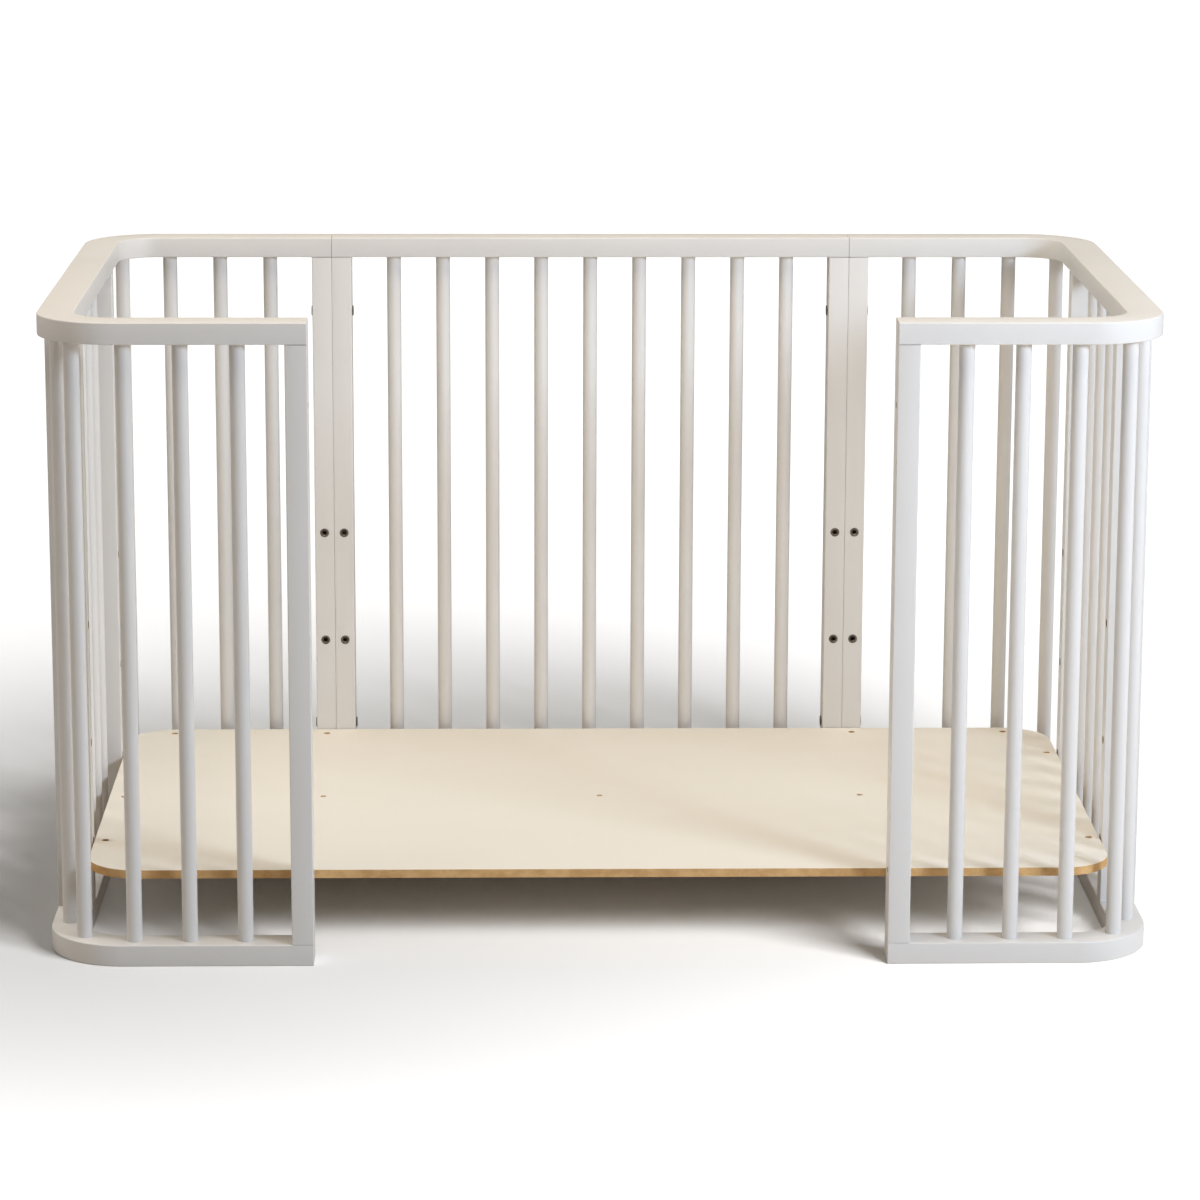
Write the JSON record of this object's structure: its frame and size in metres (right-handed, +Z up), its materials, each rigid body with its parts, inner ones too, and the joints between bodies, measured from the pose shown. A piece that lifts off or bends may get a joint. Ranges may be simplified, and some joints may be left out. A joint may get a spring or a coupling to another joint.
{
  "type": "playpen",
  "caption": "White wooden playpen with rounded corners, round spindles, a raised lying board and one long side left open in the middle.",
  "frame": {"origin": "on the floor under the middle of the playpen", "axes": "+X to the right along the length, +Y from the open front to the rear panel, +Z up"},
  "size_m": [1.28, 0.745, 0.748],
  "materials": {
    "white_paint": "satin white paint on solid timber",
    "board_laminate": "cream melamine faces, raw brown fibreboard edge",
    "raw_pine": "planed unpainted pine",
    "zinc_steel": "dull bronze-tinted zinc plating"
  },
  "bodies": {
    "root": {"left_top_rail": "white_paint", "left_bottom_rail": "white_paint", "left_front_post": "white_paint", "left_rear_post": "white_paint", "left_side_post_front": "white_paint", "left_side_post_rear": "white_paint", "left_spindle_01": "white_paint", "left_spindle_02": "white_paint", "left_spindle_03": "white_paint", "left_spindle_04": "white_paint", "left_spindle_05": "white_paint", "left_spindle_06": "white_paint", "left_spindle_07": "white_paint", "left_spindle_08": "white_paint", "left_spindle_09": "white_paint", "left_spindle_10": "white_paint", "left_spindle_11": "white_paint", "left_spindle_12": "white_paint", "left_spindle_13": "white_paint", "left_spindle_14": "white_paint", "right_top_rail": "white_paint", "right_bottom_rail": "white_paint", "right_front_post": "white_paint", "right_rear_post": "white_paint", "right_side_post_front": "white_paint", "right_side_post_rear": "white_paint", "right_spindle_01": "white_paint", "right_spindle_02": "white_paint", "right_spindle_03": "white_paint", "right_spindle_04": "white_paint", "right_spindle_05": "white_paint", "right_spindle_06": "white_paint", "right_spindle_07": "white_paint", "right_spindle_08": "white_paint", "right_spindle_09": "white_paint", "right_spindle_10": "white_paint", "right_spindle_11": "white_paint", "right_spindle_12": "white_paint", "right_spindle_13": "white_paint", "right_spindle_14": "white_paint", "rear_panel_top_rail": "white_paint", "rear_panel_bottom_rail": "white_paint", "rear_panel_post_left": "white_paint", "rear_panel_post_right": "white_paint", "rear_panel_spindle_01": "white_paint", "rear_panel_spindle_02": "white_paint", "rear_panel_spindle_03": "white_paint", "rear_panel_spindle_04": "white_paint", "rear_panel_spindle_05": "white_paint", "rear_panel_spindle_06": "white_paint", "rear_panel_spindle_07": "white_paint", "rear_panel_spindle_08": "white_paint", "rear_panel_spindle_09": "white_paint", "base_board": "board_laminate", "board_batten": "raw_pine", "seam_bolt_left_lower": "zinc_steel", "seam_bolt_left_upper": "zinc_steel", "seam_bolt_right_lower": "zinc_steel", "seam_bolt_right_upper": "zinc_steel"}
  },
  "joints": []
}
